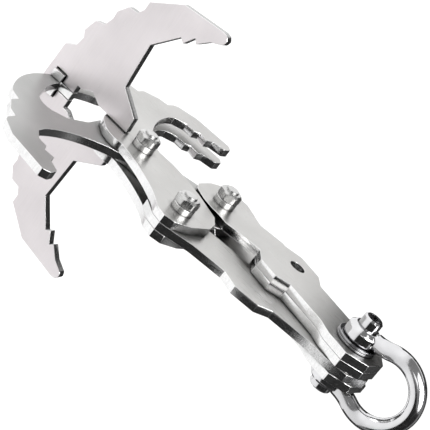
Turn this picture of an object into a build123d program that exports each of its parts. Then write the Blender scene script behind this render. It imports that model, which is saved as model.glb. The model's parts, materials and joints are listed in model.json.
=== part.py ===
"""Folding grapnel anchor: two scissor claws, a cross claw, two links and a bow shackle.

Frame: +Z runs from the claws to the shackle, +Y is the direction of every pivot axis, towards the nuts,
and +X points to the twin-plate claw. The origin is the centre of the shackle's eye. Lengths are in mm.
"""
import os
from math import asin, cos, degrees, hypot, radians, sin

from build123d import *

os.makedirs("parts", exist_ok=True)

# driving dimensions
PLATE = 3.0                 # thickness of every plate
GAP = 0.1                   # gap between neighbouring layers
PITCH = PLATE + GAP

EYE_TO_PIN = 16.0           # eye centre to the shackle pin's axis
PIN_TO_CROSS = 100.0        # shackle pin to the pivot where the claws cross
ARM_ALONG = 30.5            # crossing pivot to the arm pivots, along Z
ARM_ASIDE = 15.0            # crossing pivot to the arm pivots, along X

BOLT_R = 2.5                # M5 pivot bolts
FREE_HOLE_R = 2.56          # hole that turns on a bolt
FIXED_HOLE_R = 2.5          # hole that the bolt is clamped in
LOOSE_HOLE_R = 2.95         # crossing hole of the single claw, with play for the linkage
HEX_FLATS = 7.8             # nuts and bolt heads, across flats
NUT_H = 3.2
NUT_R = 4.3                 # turned radius that takes off the nut's corners
COLLAR_R = 4.15             # round threaded collar under each nut
COLLAR_H = 2.4
BOLT_HEAD_H = 3.0
BOLT_END_R = 2.3            # turned end of the bolt above its nut
BOLT_END_H = 0.6

PIN_R = 3.0                 # shackle pin
PIN_HOLE_R = 3.06
WASHER_R = 7.4
WASHER_T = 0.8
ROD_R = 3.0                 # shackle bow rod
EYE_R = 12.5                # radius of the bow's centre line
EAR_R = 6.0
EAR_T = 5.0
EAR_TAPER = 1.4
PIN_HEAD_R = 3.5
PIN_HEAD_H = 3.8
SOCKET_FLATS = 4.2
SOCKET_DEPTH = 2.0
PIN_NUT_R = 4.0
PIN_NUT_H = 2.4

RIM_IN = 38.9               # rim that passes through the cross claw, radii about the crossing pivot
RIM_OUT = 43.6
RIM_END_DEG = -4.5          # the rim's free end, past the centre plane
RIM_CROWN_DEG = 4.0         # where the rim grows into the crown
WINDOW_DEG = 31.0           # far end of the window under the rim
TAB_HALF = 1.5              # key of the single claw, between the cross claw's inner legs

LINK_HALF = 9.0             # half width of a link's shank
PIN_END_HALF = 10.8         # half width of a link's eight-sided end at the shackle pin
PIN_END_FACET = 4.5
BULGE_HALF = 13.2
LINK_HOLE_R = 2.9
LINK_HOLE_ASIDE = 5.2
LINK_HOLE_ALONG = 35.2
JOGGLE_FROM = 39.0          # the top link plate steps up one layer here, from the crossing pivot
JOGGLE_TO = 55.0

SLOT_HALF = 5.0             # half height of the slot that both rims pass through
SLOT_PLAY = 0.3             # clearance above and below the rims in the slot
CHANNEL_HALF = 4.95         # channel that straddles the three layers of the claws
KEY_HALF = 1.8              # gap between the inner legs, for the single claw's key
LEG_TOP = -33.0             # end of the inner legs, from the crossing pivot
TIP_ROUND = 1.2             # rounding of every claw's tip
CROSS_CROWN = -47.0         # outer face of the cross claw's crown

# levels and places worked out from them
STACK_LOW = -PITCH - PLATE / 2
STACK_TOP = 2 * PITCH + PLATE / 2
EAR_TOP_FACE = STACK_TOP + GAP + 2 * (WASHER_T + GAP)
EAR_LOW_FACE = STACK_LOW - 2 * GAP
CORE_Y = -(EAR_TOP_FACE + EAR_LOW_FACE) / 2
PIN_Z = -EYE_TO_PIN
CROSS_Z = PIN_Z - PIN_TO_CROSS
ARM_Z = CROSS_Z + ARM_ALONG
LINK_LEN = hypot(PIN_TO_CROSS - ARM_ALONG, ARM_ASIDE)
LINK_DEG = degrees(asin(ARM_ASIDE / LINK_LEN))
CLAMPED_TOP = PITCH + PLATE / 2


def y_of(level):
    """Row height of a level measured from the middle of the plate stack."""
    return CORE_Y + level


def across(level, x=0.0, z=0.0):
    """Plane across the pivot axes at a level: its own x is +X, its y is +Z, its normal is -Y."""
    return Plane(origin=(x, y_of(level), z), x_dir=(1, 0, 0), z_dir=(0, -1, 0))


def side_on(x):
    """Plane along the pivot axes, on the crossing pivot: its own x is +Y, its y is +Z, its normal +X."""
    return Plane(origin=(x, CORE_Y, CROSS_Z), x_dir=(0, 1, 0), z_dir=(1, 0, 0))


def polar(radius, angle):
    """Point at an angle from straight down (-Z), about the crossing pivot, towards the hook side."""
    return radius * sin(radians(angle)), -radius * cos(radians(angle))


# ---------------------------------------------------------------- claws

CLAW_CROWN = [(33.0, -36.9), (35.1, -35.1), (36.8, -30.5), (40.9, -30.5), (46.1, -26.0), (47.8, -22.2),
              (52.2, -21.9), (54.1, -20.9), (58.6, -13.7), (60.8, 2.8), (58.4, 5.0), (54.6, 4.5)]
CLAW_TEETH = [(52.4, -0.4), (49.2, -1.6), (49.9, -5.6), (47.2, -7.0), (47.0, -11.0)]
CLAW_THROAT = [(42.9, -14.7), (38.9, -15.2)]
CLAW_ARM = [(7.9, 2.9), (8.4, 9.0), (7.6, 17.0), (4.9, 25.6), (0.2, 36.2), (-4.2, 39.3), (-9.9, 40.8),
            (-19.6, 38.8), (-25.9, 35.3), (-27.6, 31.5), (-26.2, 27.0), (-20.9, 21.2), (-15.7, 12.4),
            (-12.1, 4.0), (-10.2, -2.6)]
CLAW_HUB = [(-8.0, -13.0), (3.5, -18.3), (10.1, -17.6), (20.1, -20.1), (24.2, -24.4)]


def claw_plate(side, keyed, cross_hole):
    """Sketch of one claw plate about the crossing pivot, hook towards side * X."""
    def at(x, z):
        return side * x, z

    crown = [at(x, z) for x, z in CLAW_CROWN]
    teeth = [at(x, z) for x, z in CLAW_TEETH]
    arm = [at(x, z) for x, z in CLAW_ARM]
    hub = [at(x, z) for x, z in CLAW_HUB]
    rim_end = at(*polar(RIM_OUT, RIM_END_DEG))
    rim_root = at(*polar(RIM_OUT, RIM_CROWN_DEG))
    window_end = at(*polar(RIM_IN, WINDOW_DEG))
    rim_tip = at(*polar(RIM_IN, RIM_END_DEG))
    with BuildSketch() as plate:
        with BuildLine():
            ThreePointArc(rim_end, at(0, -RIM_OUT), rim_root)
            ThreePointArc(rim_root, at(18.5, -43.3), crown[0])
            Polyline(*crown, *teeth, at(*CLAW_THROAT[0]))
            Line(at(*CLAW_THROAT[0]), at(*CLAW_THROAT[1]))
            ThreePointArc(at(*CLAW_THROAT[1]), at(24.5, -11.7), at(16.0, -6.9))
            ThreePointArc(at(16.0, -6.9), at(10.8, -2.4), arm[0])
            Polyline(*arm[:-4])
            Spline(*arm[-5:])
            ThreePointArc(arm[-1], at(-10.8, -8.0), hub[0])
            ThreePointArc(hub[0], at(-3.0, -17.4), hub[1])
            Polyline(*hub[1:])
            ThreePointArc(hub[-1], at(24.9, -29.0), window_end)
            ThreePointArc(window_end, at(*polar(RIM_IN, 14.0)), rim_tip)
            Line(rim_tip, rim_end)
        make_face()
        fillet([v for v in plate.vertices() if v.Y > 2.0 and side * v.X > 54.0], TIP_ROUND)
        if keyed:
            with Locations((0, (LEG_TOP - RIM_IN - 0.5) / 2)):
                Rectangle(2 * TAB_HALF, RIM_IN + LEG_TOP + 0.5)
        Circle(cross_hole, mode=Mode.SUBTRACT)
    return plate.sketch


def claw_solid(side, level, keyed, cross_hole, arm_hole):
    """One claw plate as a solid, top face half a plate above its level."""
    with BuildPart() as claw:
        with BuildSketch(across(level + PLATE / 2, 0, CROSS_Z)):
            add(claw_plate(side, keyed, cross_hole))
            with Locations((-side * ARM_ASIDE, ARM_ALONG)):
                Circle(arm_hole, mode=Mode.SUBTRACT)
        extrude(amount=PLATE)
    return claw.part


with BuildPart() as claw_a:
    add(claw_solid(-1, 0.0, True, LOOSE_HOLE_R, FREE_HOLE_R))
claw_a.part.label = "claw_a"

with BuildPart() as claw_b_top:
    add(claw_solid(1, PITCH, False, FIXED_HOLE_R, FIXED_HOLE_R))
claw_b_top.part.label = "claw_b_top"

with BuildPart() as claw_b_bottom:
    add(claw_solid(1, -PITCH, False, FIXED_HOLE_R, FIXED_HOLE_R))
claw_b_bottom.part.label = "claw_b_bottom"


# ---------------------------------------------------------------- cross claw

CROSS_HOOK = [(13.3, -46.4), (15.5, -42.5), (19.5, -41.7), (21.8, -43.1), (27.1, -41.4), (28.4, -37.7),
              (32.1, -36.4), (34.9, -36.6), (39.0, -33.8), (39.5, -29.9), (42.0, -28.4), (45.3, -28.4),
              (52.9, -17.2), (55.0, 0.4), (54.7, 2.2), (53.2, 3.3), (51.4, 2.7), (49.3, -1.6),
              (45.3, -5.6), (46.8, -7.0), (42.4, -9.6), (43.6, -11.4), (34.2, -19.1), (16.7, -17.9),
              (10.6, -8.2), (5.4, -7.9)]
CROSS_SCALLOP = (7.2, -26.9)


def cross_half(sign):
    """Outline of the upper (+1) or lower (-1) hook of the cross claw, in (Y, Z) about the crossing."""
    points = [(sign * y, z) for y, z in CROSS_HOOK]
    inner = sign * CHANNEL_HALF
    points += [(inner, CROSS_HOOK[-1][1]), (inner, -22.1), (sign * CROSS_SCALLOP[0], CROSS_SCALLOP[1])]
    points += [(inner, -31.1), (inner, LEG_TOP), (0, LEG_TOP), (0, CROSS_CROWN)]
    return points


with BuildPart() as cross_claw:
    with BuildSketch(side_on(-PLATE / 2)) as cross_sketch:
        for sign in (1, -1):
            with BuildLine():
                Polyline(*cross_half(sign), close=True)
            make_face()
        fillet([v for v in cross_sketch.vertices() if v.Y > 0.0], TIP_ROUND)
        with Locations((0, -(RIM_IN + RIM_OUT) / 2)):
            Rectangle(2 * SLOT_HALF, RIM_OUT - RIM_IN + 2 * SLOT_PLAY, mode=Mode.SUBTRACT)
        with Locations((0, (LEG_TOP - RIM_IN) / 2)):
            Rectangle(2 * KEY_HALF, RIM_IN + LEG_TOP + 1.0, mode=Mode.SUBTRACT)
    extrude(amount=PLATE)
cross_claw.part.label = "cross_claw"


# ---------------------------------------------------------------- links

WIDE_END = [(3.6, -11.3), (9.0, -10.2), (13.4, -6.4), (15.0, -0.6), (13.4, 5.4), (9.8, 11.5)]
SLIM_END = [(4.2, -10.6), (10.2, -5.8), (12.5, -1.7), (11.7, 2.4), (9.4, 11.5)]
LINK_OUTER = [(LINK_HALF, 24.5), (BULGE_HALF, 30.3), (BULGE_HALF, 39.8), (LINK_HALF, 44.6), (LINK_HALF, 61.0)]
LINK_INNER = [(-LINK_HALF, 61.0), (-LINK_HALF, 44.6), (-BULGE_HALF, 40.3), (-BULGE_HALF, 32.3),
              (-LINK_HALF, 27.5), (-LINK_HALF, 6.4), (-9.6, 3.2), (-9.6, -1.6), (-8.0, -7.4),
              (-4.6, -10.2)]


def link_plate(side):
    """Sketch of a link plate about the crossing pivot, on the side * X arm pivot and at rest."""
    half, facet = PIN_END_HALF, PIN_END_FACET
    pin_end = [(half, LINK_LEN - facet), (half, LINK_LEN + facet), (facet, LINK_LEN + half)]
    pin_end += [(-x, z) for x, z in reversed(pin_end)]
    arm_end = WIDE_END if side > 0 else SLIM_END
    outline = arm_end + LINK_OUTER + pin_end + LINK_INNER
    with BuildSketch() as plate:
        with BuildLine():
            Polyline(*[lean_point(side, x, z) for x, z in outline], close=True)
        make_face()
    return plate.sketch


def lean_point(side, aside, along):
    """Point across and along a link from its arm pivot, in the plane about the crossing pivot."""
    a = radians(LINK_DEG)
    x = ARM_ASIDE + aside * cos(a) - along * sin(a)
    return side * x, ARM_ALONG + aside * sin(a) + along * cos(a)


def link_holes(side, arm_hole, lashing_hole):
    """Subtract the pivot holes, and the lashing hole beside the shank where there is one."""
    with Locations((side * ARM_ASIDE, ARM_ALONG)):
        Circle(arm_hole, mode=Mode.SUBTRACT)
    with Locations((0, PIN_TO_CROSS)):
        Circle(PIN_HOLE_R, mode=Mode.SUBTRACT)
    if lashing_hole:
        with Locations(lean_point(side, LINK_HOLE_ASIDE, LINK_HOLE_ALONG)):
            Circle(LINK_HOLE_R, mode=Mode.SUBTRACT)


def from_cross(level):
    """Sketch plane at a level with its origin on the crossing pivot."""
    return across(level + PLATE / 2, 0, CROSS_Z)


with BuildPart() as link_a_bottom:
    with BuildSketch(from_cross(-PITCH)):
        add(link_plate(1))
        link_holes(1, FIXED_HOLE_R, True)
    extrude(amount=PLATE)
link_a_bottom.part.label = "link_a_bottom"

with BuildPart() as link_a_spacer:
    with BuildSketch(from_cross(PITCH)):
        add(link_plate(1))
        link_holes(1, FIXED_HOLE_R, True)
        with Locations((0, (JOGGLE_TO + 0.5) / 2)):
            Rectangle(90, JOGGLE_TO + 0.5, mode=Mode.SUBTRACT)
    extrude(amount=PLATE)
link_a_spacer.part.label = "link_a_spacer"

with BuildPart() as link_a_top:
    with BuildSketch(from_cross(2 * PITCH)):
        add(link_plate(1))
        link_holes(1, FIXED_HOLE_R, True)
    extrude(amount=PLATE + PITCH)
    with BuildSketch(side_on(-50)):
        with BuildLine():
            low = PITCH - PLATE / 2
            Polyline((low, 0), (low + PLATE, 0), (low + PLATE, JOGGLE_FROM),
                     (low + PLATE + PITCH, JOGGLE_TO), (low + PLATE + PITCH, 130),
                     (low + PITCH, 130), (low + PITCH, JOGGLE_TO), (low, JOGGLE_FROM), close=True)
        make_face()
    extrude(amount=100, mode=Mode.INTERSECT)
link_a_top.part.label = "link_a_top"

with BuildPart() as link_b:
    with BuildSketch(from_cross(0.0)):
        add(link_plate(-1))
        link_holes(-1, FREE_HOLE_R, False)
    extrude(amount=PLATE)
link_b.part.label = "link_b"


# ---------------------------------------------------------------- pivot bolts

def hex_prism(x, z, level, height):
    """Plain hexagonal body standing on a level."""
    with BuildPart() as prism:
        with BuildSketch(across(level, x, z)):
            RegularPolygon(HEX_FLATS / 2, 6, major_radius=False)
        extrude(amount=-height)
    return prism.part


def nut(x, z, level):
    """Hexagonal nut standing on a level, with a round chamfer at its free end."""
    base, top = y_of(level), y_of(level + NUT_H)
    with BuildPart() as piece:
        add(hex_prism(x, z, level, NUT_H))
        with BuildSketch(Plane(origin=(x, 0, z))):
            with BuildLine():
                Polyline((0, base), (NUT_R - 0.35, base), (NUT_R, base + 0.3), (NUT_R, top - 0.8),
                         (NUT_R - 0.9, top), (0, top), close=True)
            make_face()
        revolve(axis=Axis((x, 0, z), (0, 1, 0)), mode=Mode.INTERSECT)
        with BuildSketch(across(level, x, z)):
            Circle(BOLT_R)
        extrude(amount=-NUT_H, mode=Mode.SUBTRACT)
    return piece.part


def collar(x, z, level):
    """Round threaded collar standing on a level, that the nut is locked against."""
    with BuildPart() as ring:
        with BuildSketch(across(level, x, z)):
            Circle(COLLAR_R)
            Circle(BOLT_R, mode=Mode.SUBTRACT)
        extrude(amount=-COLLAR_H)
        chamfer(ring.faces().sort_by(Axis.Y)[-1].outer_wire().edges(), 0.25)
    return ring.part


def bolt(x, z):
    """Hex-head bolt with its head under the plates and a small turned end above its nut."""
    under = STACK_LOW - BOLT_HEAD_H
    tip = CLAMPED_TOP + COLLAR_H + NUT_H + 2 * GAP
    with BuildPart() as screw:
        add(hex_prism(x, z, under, BOLT_HEAD_H))
        with BuildSketch(across(STACK_LOW, x, z)):
            Circle(BOLT_R)
        extrude(amount=-(tip - STACK_LOW))
        with BuildSketch(across(tip, x, z)):
            Circle(BOLT_END_R)
        extrude(amount=-BOLT_END_H)
        chamfer(screw.faces().sort_by(Axis.Y)[-1].edges(), 0.2)
        chamfer(screw.faces().sort_by(Axis.Y)[0].edges(), 0.4)
    return screw.part


PIVOTS = {"centre": (0.0, CROSS_Z), "claw_a": (ARM_ASIDE, ARM_Z), "claw_b": (-ARM_ASIDE, ARM_Z)}
fasteners = {}
for pivot, (pivot_x, pivot_z) in PIVOTS.items():
    fasteners[f"bolt_{pivot}"] = bolt(pivot_x, pivot_z)
    fasteners[f"jam_nut_{pivot}"] = collar(pivot_x, pivot_z, CLAMPED_TOP)
    fasteners[f"nut_{pivot}"] = nut(pivot_x, pivot_z, CLAMPED_TOP + COLLAR_H + GAP)
for name, solid in fasteners.items():
    solid.label = name


# ---------------------------------------------------------------- shackle

ARM_END_Y = EAR_TOP_FACE + ROD_R + 0.05 + CORE_Y      # where the bow's arms end, clear of the jaw
ARM_END_Z = PIN_Z + 4.4
PIN_TOP = EAR_TOP_FACE + EAR_T
PIN_LOW = EAR_LOW_FACE - EAR_T


def on_pin(level):
    """Sketch plane across the shackle pin at a level."""
    return across(level, 0, PIN_Z)


with BuildPart() as shackle_bow:
    neck_y = EYE_R * sin(radians(68))
    neck_z = -EYE_R * cos(radians(68))
    with BuildLine(Plane.YZ) as bow_line:
        arc = ThreePointArc((-neck_y, neck_z), (0, EYE_R), (neck_y, neck_z))
        upper = TangentArc((neck_y, neck_z), (ARM_END_Y, ARM_END_Z), tangent=arc % 1)
        lower = TangentArc((-neck_y, neck_z), (-ARM_END_Y, ARM_END_Z), tangent=-(arc % 0))
    for path in (arc, upper, lower):
        with BuildSketch(Plane(origin=path @ 0, z_dir=path % 0)):
            Circle(ROD_R)
        sweep(path=path)
    for face_level, direction in ((EAR_TOP_FACE, 1), (EAR_LOW_FACE, -1)):
        jaw = y_of(face_level)
        shoulder = jaw + direction * (EAR_T - EAR_TAPER)
        outside = jaw + direction * EAR_T
        with BuildSketch(Plane(origin=(0, 0, PIN_Z))):
            with BuildLine():
                Polyline((0, jaw), (EAR_R, jaw), (EAR_R, shoulder), (EAR_R - EAR_TAPER, outside),
                         (0, outside), close=True)
            make_face()
        revolve(axis=Axis((0, 0, PIN_Z), (0, 1, 0)))
    with BuildSketch(on_pin(PIN_TOP + 1)):
        Circle(PIN_R)
    extrude(amount=PIN_TOP - PIN_LOW + 2, mode=Mode.SUBTRACT)
shackle_bow.part.label = "shackle_bow"

with BuildPart() as shackle_pin:
    with BuildSketch(on_pin(PIN_TOP)):
        Circle(PIN_R)
    extrude(amount=PIN_TOP - PIN_LOW + PIN_NUT_H)
    with BuildSketch(on_pin(PIN_TOP)):
        Circle(PIN_HEAD_R)
    extrude(amount=-PIN_HEAD_H)
    chamfer(shackle_pin.faces().sort_by(Axis.Y)[-1].edges(), 0.6)
    with BuildSketch(on_pin(PIN_TOP + PIN_HEAD_H)):
        RegularPolygon(SOCKET_FLATS / 2, 6, major_radius=False)
    extrude(amount=SOCKET_DEPTH, mode=Mode.SUBTRACT)
shackle_pin.part.label = "shackle_pin"

with BuildPart() as pin_nut:
    with BuildSketch(on_pin(PIN_LOW)):
        Circle(PIN_NUT_R)
        Circle(PIN_R, mode=Mode.SUBTRACT)
    extrude(amount=PIN_NUT_H)
    chamfer(pin_nut.faces().sort_by(Axis.Y)[0].outer_wire().edges(), 0.5)
pin_nut.part.label = "pin_nut"

washers = {}
for number, name in enumerate(("washer_lower", "washer_upper")):
    with BuildPart() as washer:
        with BuildSketch(on_pin(STACK_TOP + GAP + number * (WASHER_T + GAP))):
            Circle(WASHER_R)
            Circle(PIN_HOLE_R, mode=Mode.SUBTRACT)
        extrude(amount=-WASHER_T)
    washers[name] = washer.part
    washers[name].label = name

# ---------------------------------------------------------------- export

plates = [claw_a, claw_b_top, claw_b_bottom, cross_claw, link_a_top, link_a_spacer, link_a_bottom, link_b]
for piece in plates + [shackle_bow, shackle_pin, pin_nut]:
    export_step(piece.part, f"parts/{piece.part.label}.step")
for name, solid in {**fasteners, **washers}.items():
    export_step(solid, f"parts/{name}.step")
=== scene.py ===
"""Looks of the folding grapnel anchor: brushed plates with cut edges, polished shackle, studio."""
import json
from math import cos, radians, sin, sqrt

import bpy
import bmesh
from mathutils import Matrix, Vector


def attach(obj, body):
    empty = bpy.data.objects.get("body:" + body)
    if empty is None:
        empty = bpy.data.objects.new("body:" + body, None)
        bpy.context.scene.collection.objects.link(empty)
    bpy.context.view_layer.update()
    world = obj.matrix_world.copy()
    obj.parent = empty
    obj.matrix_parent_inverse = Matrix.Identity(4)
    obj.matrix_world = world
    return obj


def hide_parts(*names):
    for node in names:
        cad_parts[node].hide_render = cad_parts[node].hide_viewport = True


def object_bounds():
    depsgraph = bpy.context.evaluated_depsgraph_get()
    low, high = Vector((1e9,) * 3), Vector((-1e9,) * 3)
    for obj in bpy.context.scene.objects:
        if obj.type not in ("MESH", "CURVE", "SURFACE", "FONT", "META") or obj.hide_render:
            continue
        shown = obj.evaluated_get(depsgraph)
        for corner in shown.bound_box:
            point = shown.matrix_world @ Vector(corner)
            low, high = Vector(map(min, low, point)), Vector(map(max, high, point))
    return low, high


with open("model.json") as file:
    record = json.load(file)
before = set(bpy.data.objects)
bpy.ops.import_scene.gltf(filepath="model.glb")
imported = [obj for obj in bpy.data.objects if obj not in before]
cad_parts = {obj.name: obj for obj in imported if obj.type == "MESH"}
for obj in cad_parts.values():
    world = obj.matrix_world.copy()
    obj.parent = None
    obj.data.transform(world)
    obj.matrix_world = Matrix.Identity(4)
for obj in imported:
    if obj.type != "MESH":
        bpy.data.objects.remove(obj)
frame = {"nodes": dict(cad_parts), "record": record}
CAD_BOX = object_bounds()
MM = 0.001

CLAW_PLATES = ("claw_a", "claw_b_top", "claw_b_bottom")
LINK_PLATES = ("link_a_top", "link_a_spacer", "link_a_bottom", "link_b")
PIVOTS = ("centre", "claw_a", "claw_b")

PLATE_ROUNDING = 0.10 * MM       # bevels on the edges of each kind of piece
FASTENER_ROUNDING = 0.06 * MM
WASHER_ROUNDING = 0.15 * MM
PIN_ROUNDING = 0.08 * MM
PIN_NUT_ROUNDING = 0.15 * MM
BEVEL_FROM = 0.52                # edges that turn more than this, in radians, are rounded
SHARP_FROM = 0.45                # edges that turn more than this shade as sharp
SQUARE_TO_SIDE = 0.86            # a face this square to the side axis is a plate's face, not its edge
WELD_WITHIN = 0.000004           # metres
FLAT_WITHIN = 0.004              # radians

BOW_VOXEL = 0.28 * MM            # grain of the forged bow's skin
BOW_SMOOTHING = 7

FLOOR_DROP = 0.12                # floor below the lowest claw, and its size, in metres
FLOOR_SIZE = 12.0
TARGET = (0, 0, -0.08)           # where the softboxes aim
SKY_STRENGTH = 0.26
GLOW_CENTRE_Z = -0.06            # height that the bright card faces
SWING_CLEAR = 0.20               # radius of the card round the shackle: the anchor swings out to 0.16


# ---------------------------------------------------------------- node helpers

class Nodes:
    """A material's node tree, with short calls to add and join its nodes."""

    def __init__(self, name):
        self.material = bpy.data.materials.new(name)
        self.material.use_nodes = True
        self.tree = self.material.node_tree
        self.tree.nodes.clear()
        self.out = self.add("ShaderNodeOutputMaterial")
        self.bsdf = self.add("ShaderNodeBsdfPrincipled")
        self.join(self.bsdf, "BSDF", self.out, "Surface")

    def add(self, kind, **values):
        node = self.tree.nodes.new(kind)
        for key, value in values.items():
            setattr(node, key, value)
        return node

    def join(self, source, output, target, socket):
        self.tree.links.new(source.outputs[output], target.inputs[socket])

    def noise(self, scale, stretch=(1, 1, 1), detail=4.0, rough=0.6, turn=(0, 0, 0)):
        """Noise in object space, stretched along the axes and scaled per metre."""
        place = self.add("ShaderNodeTexCoord")
        fit = self.add("ShaderNodeMapping")
        fit.inputs["Scale"].default_value = stretch
        fit.inputs["Rotation"].default_value = turn
        noise = self.add("ShaderNodeTexNoise")
        noise.inputs["Scale"].default_value = scale
        noise.inputs["Detail"].default_value = detail
        noise.inputs["Roughness"].default_value = rough
        self.join(place, "Object", fit, "Vector")
        self.join(fit, "Vector", noise, "Vector")
        return noise

    def ramp(self, source, output, stops):
        """Colour ramp over stops of (place, grey or colour)."""
        ramp = self.add("ShaderNodeValToRGB")
        for number, (place, value) in enumerate(stops):
            if number < 2:
                stop = ramp.color_ramp.elements[number]
                stop.position = place
            else:
                stop = ramp.color_ramp.elements.new(place)
            colour = (value,) * 3 if isinstance(value, (int, float)) else value
            stop.color = (*colour, 1)
        self.join(source, output, ramp, "Fac")
        return ramp

    def blend(self, factor, first, second, mode="MIX"):
        """Mix of two colours: factor is a number or (node, output), each colour a tuple or a node."""
        mix = self.add("ShaderNodeMix", data_type="RGBA", blend_type=mode)
        if isinstance(factor, tuple):
            self.tree.links.new(factor[0].outputs[factor[1]], mix.inputs[0])
        else:
            mix.inputs[0].default_value = factor
        for socket, colour in ((6, first), (7, second)):
            if isinstance(colour, tuple):
                mix.inputs[socket].default_value = (*colour, 1)
            else:
                self.tree.links.new(colour.outputs[0 if colour.type != "MIX" else 2], mix.inputs[socket])
        return mix

    def painted_crevice_shade(self, colour, reach, depth, onset=0.2):
        """Colour with painted shade in its crevices: darkened by occlusion within reach metres, down to
        depth below onset.
        """
        shade = self.add("ShaderNodeAmbientOcclusion", samples=8)
        shade.inputs["Distance"].default_value = reach
        # painted shade: the occlusion ramp darkens crevices and gaps between parts
        crevice_shade_ramp = self.ramp(shade, "AO", [(onset, depth), (0.85, 1.0)])
        return self.blend(1.0, colour, crevice_shade_ramp, "MULTIPLY")

    def bump(self, heights):
        """Chain of bumps from (node, output, strength, distance in metres)."""
        last = None
        for source, output, strength, distance in heights:
            bump = self.add("ShaderNodeBump")
            bump.inputs["Strength"].default_value = strength
            bump.inputs["Distance"].default_value = distance
            self.join(source, output, bump, "Height")
            if last:
                self.join(last, "Normal", bump, "Normal")
            last = bump
        self.join(last, "Normal", self.bsdf, "Normal")


def brushed(name, light, dark, rough, grain_turn=(0, 0, 0), grain=(1, 1, 0.03)):
    """Brushed stainless face: fine grain along Z, clouded colour, light scratches, painted shade in
    crevices.
    """
    n = Nodes(name)
    grain_noise = n.noise(2600, grain, 6.0, 0.7, grain_turn)
    cloud = n.noise(38, (1, 1, 1), 3.0, 0.5)
    scratch = n.noise(900, (1.0, 1.0, 0.012), 2.0, 0.4, (0.12, 0.3, 0.05))
    tone = n.ramp(cloud, "Fac", [(0.30, dark), (0.72, light)])
    line = n.ramp(grain_noise, "Fac", [(0.30, 0.86), (0.70, 1.0)])
    # painted shade: the brushed face darkens in crevices and beside other parts
    colour = n.painted_crevice_shade(n.blend(0.55, tone, line, "MULTIPLY"), 3 * MM, 0.25)
    n.join(colour, 2, n.bsdf, "Base Color")
    gloss = n.ramp(grain_noise, "Fac", [(0.25, rough - 0.07), (0.75, rough + 0.09)])
    n.join(gloss, "Color", n.bsdf, "Roughness")
    n.bsdf.inputs["Metallic"].default_value = 1.0
    n.bump([(grain_noise, "Fac", 0.16, 0.00003), (scratch, "Fac", 0.10, 0.00005)])
    return n.material


def cut_edge(name, light, dark, rough, speckle):
    """Laser-cut edge: striations across the plate's thickness, with a fine dark speckle and painted shade
    in crevices.
    """
    n = Nodes(name)
    stria = n.noise(2200, (1, 0.12, 1), 4.0, 0.65)
    grit = n.noise(8000, (1, 0.8, 1), 2.0, 0.6)
    tone = n.ramp(stria, "Fac", [(0.32, dark), (0.62, light)])
    spots = n.ramp(grit, "Fac", [(0.40, 1.0 - speckle), (0.56, 1.0)])
    # painted shade: the cut edges darken deep into the gaps between plates
    colour = n.painted_crevice_shade(n.blend(1.0, tone, spots, "MULTIPLY"), 5 * MM, 0.06, 0.34)
    n.join(colour, 2, n.bsdf, "Base Color")
    gloss = n.ramp(stria, "Fac", [(0.3, rough + 0.10), (0.7, rough)])
    n.join(gloss, "Color", n.bsdf, "Roughness")
    n.bsdf.inputs["Metallic"].default_value = 1.0
    n.bump([(stria, "Fac", 0.18, 0.00004), (grit, "Fac", 0.45, 0.00003)])
    return n.material


def polished(name, light, dark, rough, reach=3 * MM, depth=0.15):
    """Polished stainless: soft clouding of tone, hairline wear, a little waviness, and painted shade in
    crevices set by reach and depth.
    """
    n = Nodes(name)
    cloud = n.noise(90, (1, 1, 1), 3.0, 0.5)
    hair = n.noise(1800, (1, 0.06, 1), 4.0, 0.7, (0.2, 0.1, 0.4))
    tone = n.ramp(cloud, "Fac", [(0.3, dark), (0.7, light)])
    # painted shade: the polished tone darkens in crevices
    n.join(n.painted_crevice_shade(tone, reach, depth), 2, n.bsdf, "Base Color")
    gloss = n.ramp(hair, "Fac", [(0.35, rough), (0.75, rough + 0.10)])
    n.join(gloss, "Color", n.bsdf, "Roughness")
    n.bsdf.inputs["Metallic"].default_value = 1.0
    n.bump([(hair, "Fac", 0.05, 0.00003), (cloud, "Fac", 0.04, 0.0002)])
    return n.material


FACE_CLAW = brushed("claw_face", (0.54, 0.535, 0.525), (0.44, 0.435, 0.425), 0.30)
FACE_DARK = brushed("single_claw_face", (0.45, 0.45, 0.445), (0.36, 0.36, 0.355), 0.32)
FACE_CROSS = brushed("cross_claw_face", (0.72, 0.685, 0.695), (0.61, 0.58, 0.59), 0.32, (0, 0, 0),
                     (1, 0.03, 1))
FACE_LINK = brushed("link_face", (0.53, 0.525, 0.515), (0.43, 0.425, 0.415), 0.30)
EDGE = cut_edge("cut_edge", (0.90, 0.90, 0.90), (0.76, 0.76, 0.76), 0.08, 0.30)
EDGE_CROSS = cut_edge("cross_claw_edge", (0.50, 0.50, 0.50), (0.30, 0.30, 0.30), 0.20, 0.40)
EDGE_BREAK = polished("broken_edge", (0.86, 0.86, 0.86), (0.74, 0.74, 0.74), 0.22)
BRIGHT = polished("bright_fittings", (0.70, 0.70, 0.71), (0.56, 0.56, 0.57), 0.07)
# turned fasteners: short reach and deep painted shade around nuts and bolts
TURNED = polished("turned_fasteners", (0.62, 0.62, 0.615), (0.44, 0.44, 0.435), 0.24, 1.6 * MM, 0.02)
WASHER = polished("washer_steel", (0.34, 0.34, 0.35), (0.22, 0.22, 0.23), 0.16)


# ---------------------------------------------------------------- meshes

def body_of(node):
    """Name of the moving body that a CAD node belongs to."""
    for body, members in frame["record"]["behaviour"]["bodies"].items():
        if node in members:
            return body
    raise ValueError(node)


def welded(node):
    """Mesh of a CAD node with its split points welded and its flat faces joined."""
    work = bmesh.new()
    work.from_mesh(frame["nodes"][node].data)
    bmesh.ops.remove_doubles(work, verts=work.verts, dist=WELD_WITHIN)
    bmesh.ops.dissolve_limit(work, angle_limit=FLAT_WITHIN, verts=work.verts, edges=work.edges,
                             delimit={"NORMAL"})
    mesh = bpy.data.meshes.new(node + "_look")
    work.to_mesh(mesh)
    work.free()
    return mesh


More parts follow.
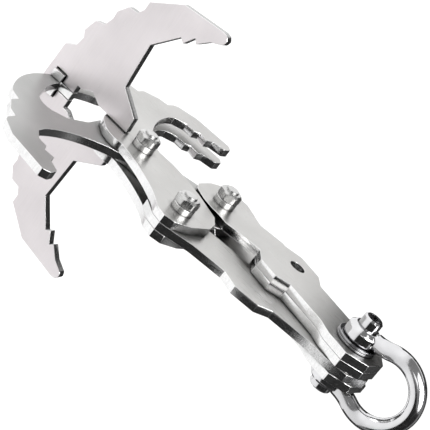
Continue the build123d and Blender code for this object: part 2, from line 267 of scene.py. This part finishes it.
def finished(node, suffix, width, materials, side_axis=None, segments=2):
    """Piece that stands for a CAD node, its sharp edges rounded by a small bevel.

    materials are (face, edge, rounding): faces across side_axis take the first, the rest the second.
    """
    mesh = welded(node)
    piece = bpy.data.objects.new(node + suffix, mesh)
    bpy.context.scene.collection.objects.link(piece)
    for material in materials:
        mesh.materials.append(material)
    if side_axis is not None:
        for face in mesh.polygons:
            face.material_index = 0 if abs(face.normal[side_axis]) > SQUARE_TO_SIDE else 1
    bevel = piece.modifiers.new("rounding", "BEVEL")
    bevel.width = width
    bevel.segments = segments
    bevel.limit_method = "ANGLE"
    bevel.angle_limit = BEVEL_FROM
    bevel.use_clamp_overlap = True
    bevel.harden_normals = False
    if len(materials) > 2:
        bevel.material = 2
    mesh.shade_smooth()
    mesh.set_sharp_from_angle(angle=SHARP_FROM)
    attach(piece, body_of(node))
    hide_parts(node)
    return piece


for plate in CLAW_PLATES:
    face = FACE_DARK if plate == "claw_a" else FACE_CLAW
    finished(plate, "_plate", PLATE_ROUNDING, (face, EDGE, EDGE_BREAK), 1)
for plate in LINK_PLATES:
    finished(plate, "_plate", PLATE_ROUNDING, (FACE_LINK, EDGE, EDGE_BREAK), 1)
finished("cross_claw", "_plate", PLATE_ROUNDING, (FACE_CROSS, EDGE_CROSS, EDGE_BREAK), 0)
for pivot in PIVOTS:
    finished("bolt_" + pivot, "_steel", FASTENER_ROUNDING, (TURNED,))
    finished("jam_nut_" + pivot, "_steel", FASTENER_ROUNDING, (TURNED,))
    finished("nut_" + pivot, "_steel", FASTENER_ROUNDING, (TURNED,))
for washer in ("washer_lower", "washer_upper"):
    finished(washer, "_steel", WASHER_ROUNDING, (WASHER,))
finished("shackle_pin", "_steel", PIN_ROUNDING, (BRIGHT,))
finished("pin_nut", "_steel", PIN_NUT_ROUNDING, (BRIGHT,))


def forged_bow():
    """Bow with its rod blended into the ears, as forging leaves it."""
    source = bpy.data.objects.new("bow_source", welded("shackle_bow"))
    bpy.context.scene.collection.objects.link(source)
    remesh = source.modifiers.new("skin", "REMESH")
    remesh.mode = "VOXEL"
    remesh.voxel_size = BOW_VOXEL
    smooth = source.modifiers.new("blend", "SMOOTH")
    smooth.factor = 0.5
    smooth.iterations = BOW_SMOOTHING
    bpy.context.view_layer.update()
    graph = bpy.context.evaluated_depsgraph_get()
    mesh = bpy.data.meshes.new_from_object(source.evaluated_get(graph))
    mesh.name = "shackle_bow_forged"
    bpy.data.objects.remove(source)
    piece = bpy.data.objects.new("shackle_bow_forged", mesh)
    bpy.context.scene.collection.objects.link(piece)
    mesh.materials.clear()
    mesh.materials.append(BRIGHT)
    mesh.shade_smooth()
    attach(piece, "shackle")
    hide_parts("shackle_bow")
    return piece


forged_bow()


# ---------------------------------------------------------------- studio

def matte(name, colour, rough):
    """Plain cloth or paper of one grey, a little uneven."""
    n = Nodes(name)
    grain = n.noise(6, (1, 1, 1), 3.0, 0.5)
    tone = n.ramp(grain, "Fac", [(0.3, colour), (0.7, colour * 1.01)])
    n.join(tone, "Color", n.bsdf, "Base Color")
    n.bsdf.inputs["Roughness"].default_value = rough
    return n.material


def floor(drop, size):
    """Pale floor under the lowest claw."""
    low = CAD_BOX[0][2] - drop
    mesh = bpy.data.meshes.new("floor")
    half = size / 2
    corners = [(-half, -half, low), (half, -half, low), (half, half, low), (-half, half, low)]
    mesh.from_pydata(corners, [], [(0, 1, 2, 3)])
    mesh.materials.append(matte("floor_paper", 0.93, 0.85))
    piece = bpy.data.objects.new("floor", mesh)
    bpy.context.scene.collection.objects.link(piece)


def softbox(name, place, target, size, power):
    """Area light at a place, aimed at a target."""
    light = bpy.data.lights.new(name, "AREA")
    light.shape = "RECTANGLE"
    light.size = size[0]
    light.size_y = size[1]
    light.energy = power
    lamp = bpy.data.objects.new(name, light)
    bpy.context.scene.collection.objects.link(lamp)
    lamp.location = place
    lamp.rotation_euler = (Vector(target) - Vector(place)).to_track_quat("-Z", "Y").to_euler()


def staged_card(name, mesh, place=(0, 0, 0), turn=(0, 0, 0)):
    """Card of the studio that only reflections see."""
    card = bpy.data.objects.new(name, mesh)
    bpy.context.scene.collection.objects.link(card)
    card.location = place
    card.rotation_euler = turn
    card.visible_camera = False
    card.visible_diffuse = False
    card.visible_shadow = False


def wrap_card(name, azimuths, heights, radius, shade):
    """Upright curved card about the shackle that only reflections see."""
    turns = 24
    points = []
    for i in range(turns + 1):
        angle = radians(azimuths[0] + (azimuths[1] - azimuths[0]) * i / turns)
        for height in heights:
            points.append((cos(angle) * radius, sin(angle) * radius, height))
    quads = [(2 * i, 2 * i + 1, 2 * i + 3, 2 * i + 2) for i in range(turns)]
    mesh = bpy.data.meshes.new(name)
    mesh.from_pydata(points, [], quads)
    mesh.materials.append(matte(name + "_cloth", shade, 0.9))
    staged_card(name, mesh)


def glow_card(name, toward, distance, size, strength):
    """Square card that glows evenly, no lamp, seen only in reflections and facing the part: it puts a
    painted highlight in the metal.
    """
    panel = bpy.data.meshes.new(name)
    half = size / 2
    panel.from_pydata([(-half, -half, 0), (half, -half, 0), (half, half, 0), (-half, half, 0)], [],
                      [(0, 1, 2, 3)])
    n = Nodes(name + "_light")
    cloud = n.noise(3, (1, 1, 1), 2.0, 0.5)
    tone = n.ramp(cloud, "Fac", [(0.3, 0.94), (0.7, 1.0)])
    n.join(tone, "Color", n.bsdf, "Emission Color")
    n.bsdf.inputs["Emission Strength"].default_value = strength
    n.bsdf.inputs["Base Color"].default_value = (0, 0, 0, 1)
    panel.materials.append(n.material)
    aim = Vector(toward).normalized()
    place = aim * distance + Vector((0, 0, GLOW_CENTRE_Z))
    staged_card(name, panel, place, aim.to_track_quat("Z", "Y").to_euler())


def overhead(strength, toward, spread):
    """Wide soft light from far overhead, which keeps the floor white."""
    light = bpy.data.lights.new("overhead", "SUN")
    light.energy = strength
    light.angle = radians(spread)
    lamp = bpy.data.objects.new("overhead", light)
    bpy.context.scene.collection.objects.link(lamp)
    lamp.rotation_euler = Vector(toward).to_track_quat("Z", "Y").to_euler()


def dark_card(name, sweep, slant, radius, shade):
    """Curved card that only reflections see: sweep degrees up from -X, slant the range of its y."""
    turns, rows = 16, 6
    points = []
    for i in range(turns + 1):
        angle = radians(sweep[0] + (sweep[1] - sweep[0]) * i / turns)
        for j in range(rows + 1):
            y = slant[0] + (slant[1] - slant[0]) * j / rows
            flat = sqrt(1 - y * y)
            points.append((-cos(angle) * flat * radius, y * radius, sin(angle) * flat * radius + TARGET[2]))
    quads = []
    for i in range(turns):
        for j in range(rows):
            corner = i * (rows + 1) + j
            quads.append((corner, corner + 1, corner + rows + 2, corner + rows + 1))
    mesh = bpy.data.meshes.new(name)
    mesh.from_pydata(points, [], quads)
    mesh.materials.append(matte(name + "_cloth", shade, 0.9))
    staged_card(name, mesh)


floor(FLOOR_DROP, FLOOR_SIZE)
wrap_card("card_shackle", (-100, 50), (-0.072, 0.20), SWING_CLEAR, 0.02)
glow_card("card_bright", (-0.887, 0.30, 0.34), 1.2, 0.34, 1.5)
dark_card("card_front", (1, 104), (-0.78, -0.10), 1.6, 0.012)
dark_card("card_behind", (162, 216), (-0.80, -0.06), 0.5, 0.02)
softbox("key", (-0.5, 0.9, 1.1), TARGET, (1.2, 1.2), 9)
softbox("fill", (1.3, 0.9, 0.5), TARGET, (1.4, 1.4), 5)
overhead(3.2, (-0.35, 0.45, 1.0), 50)

world = bpy.data.worlds.new("studio")
bpy.context.scene.world = world
world.use_nodes = True
sky = world.node_tree.nodes["Background"]
sky.inputs["Color"].default_value = (1.0, 1.0, 1.0, 1.0)
sky.inputs["Strength"].default_value = SKY_STRENGTH

# camera
PLACE = (-0.43721, 0.18233, 0.07046)
RIGHT = (0.46614, 0.56257, 0.68281)
UP = (0.07582, 0.74355, -0.66437)
BACK = (-0.88146, 0.36146, 0.30394)
LENS_MM = 123.6

lens = bpy.data.cameras.new("camera")
lens.sensor_width = 36.0
lens.lens = LENS_MM
lens.clip_start = 0.01
lens.clip_end = 100.0
camera = bpy.data.objects.new("camera", lens)
bpy.context.scene.collection.objects.link(camera)
turn = Matrix((RIGHT, UP, BACK)).transposed().to_4x4()
camera.matrix_world = Matrix.Translation(PLACE) @ turn
bpy.context.scene.camera = camera
bpy.context.scene.view_settings.view_transform = "Standard"
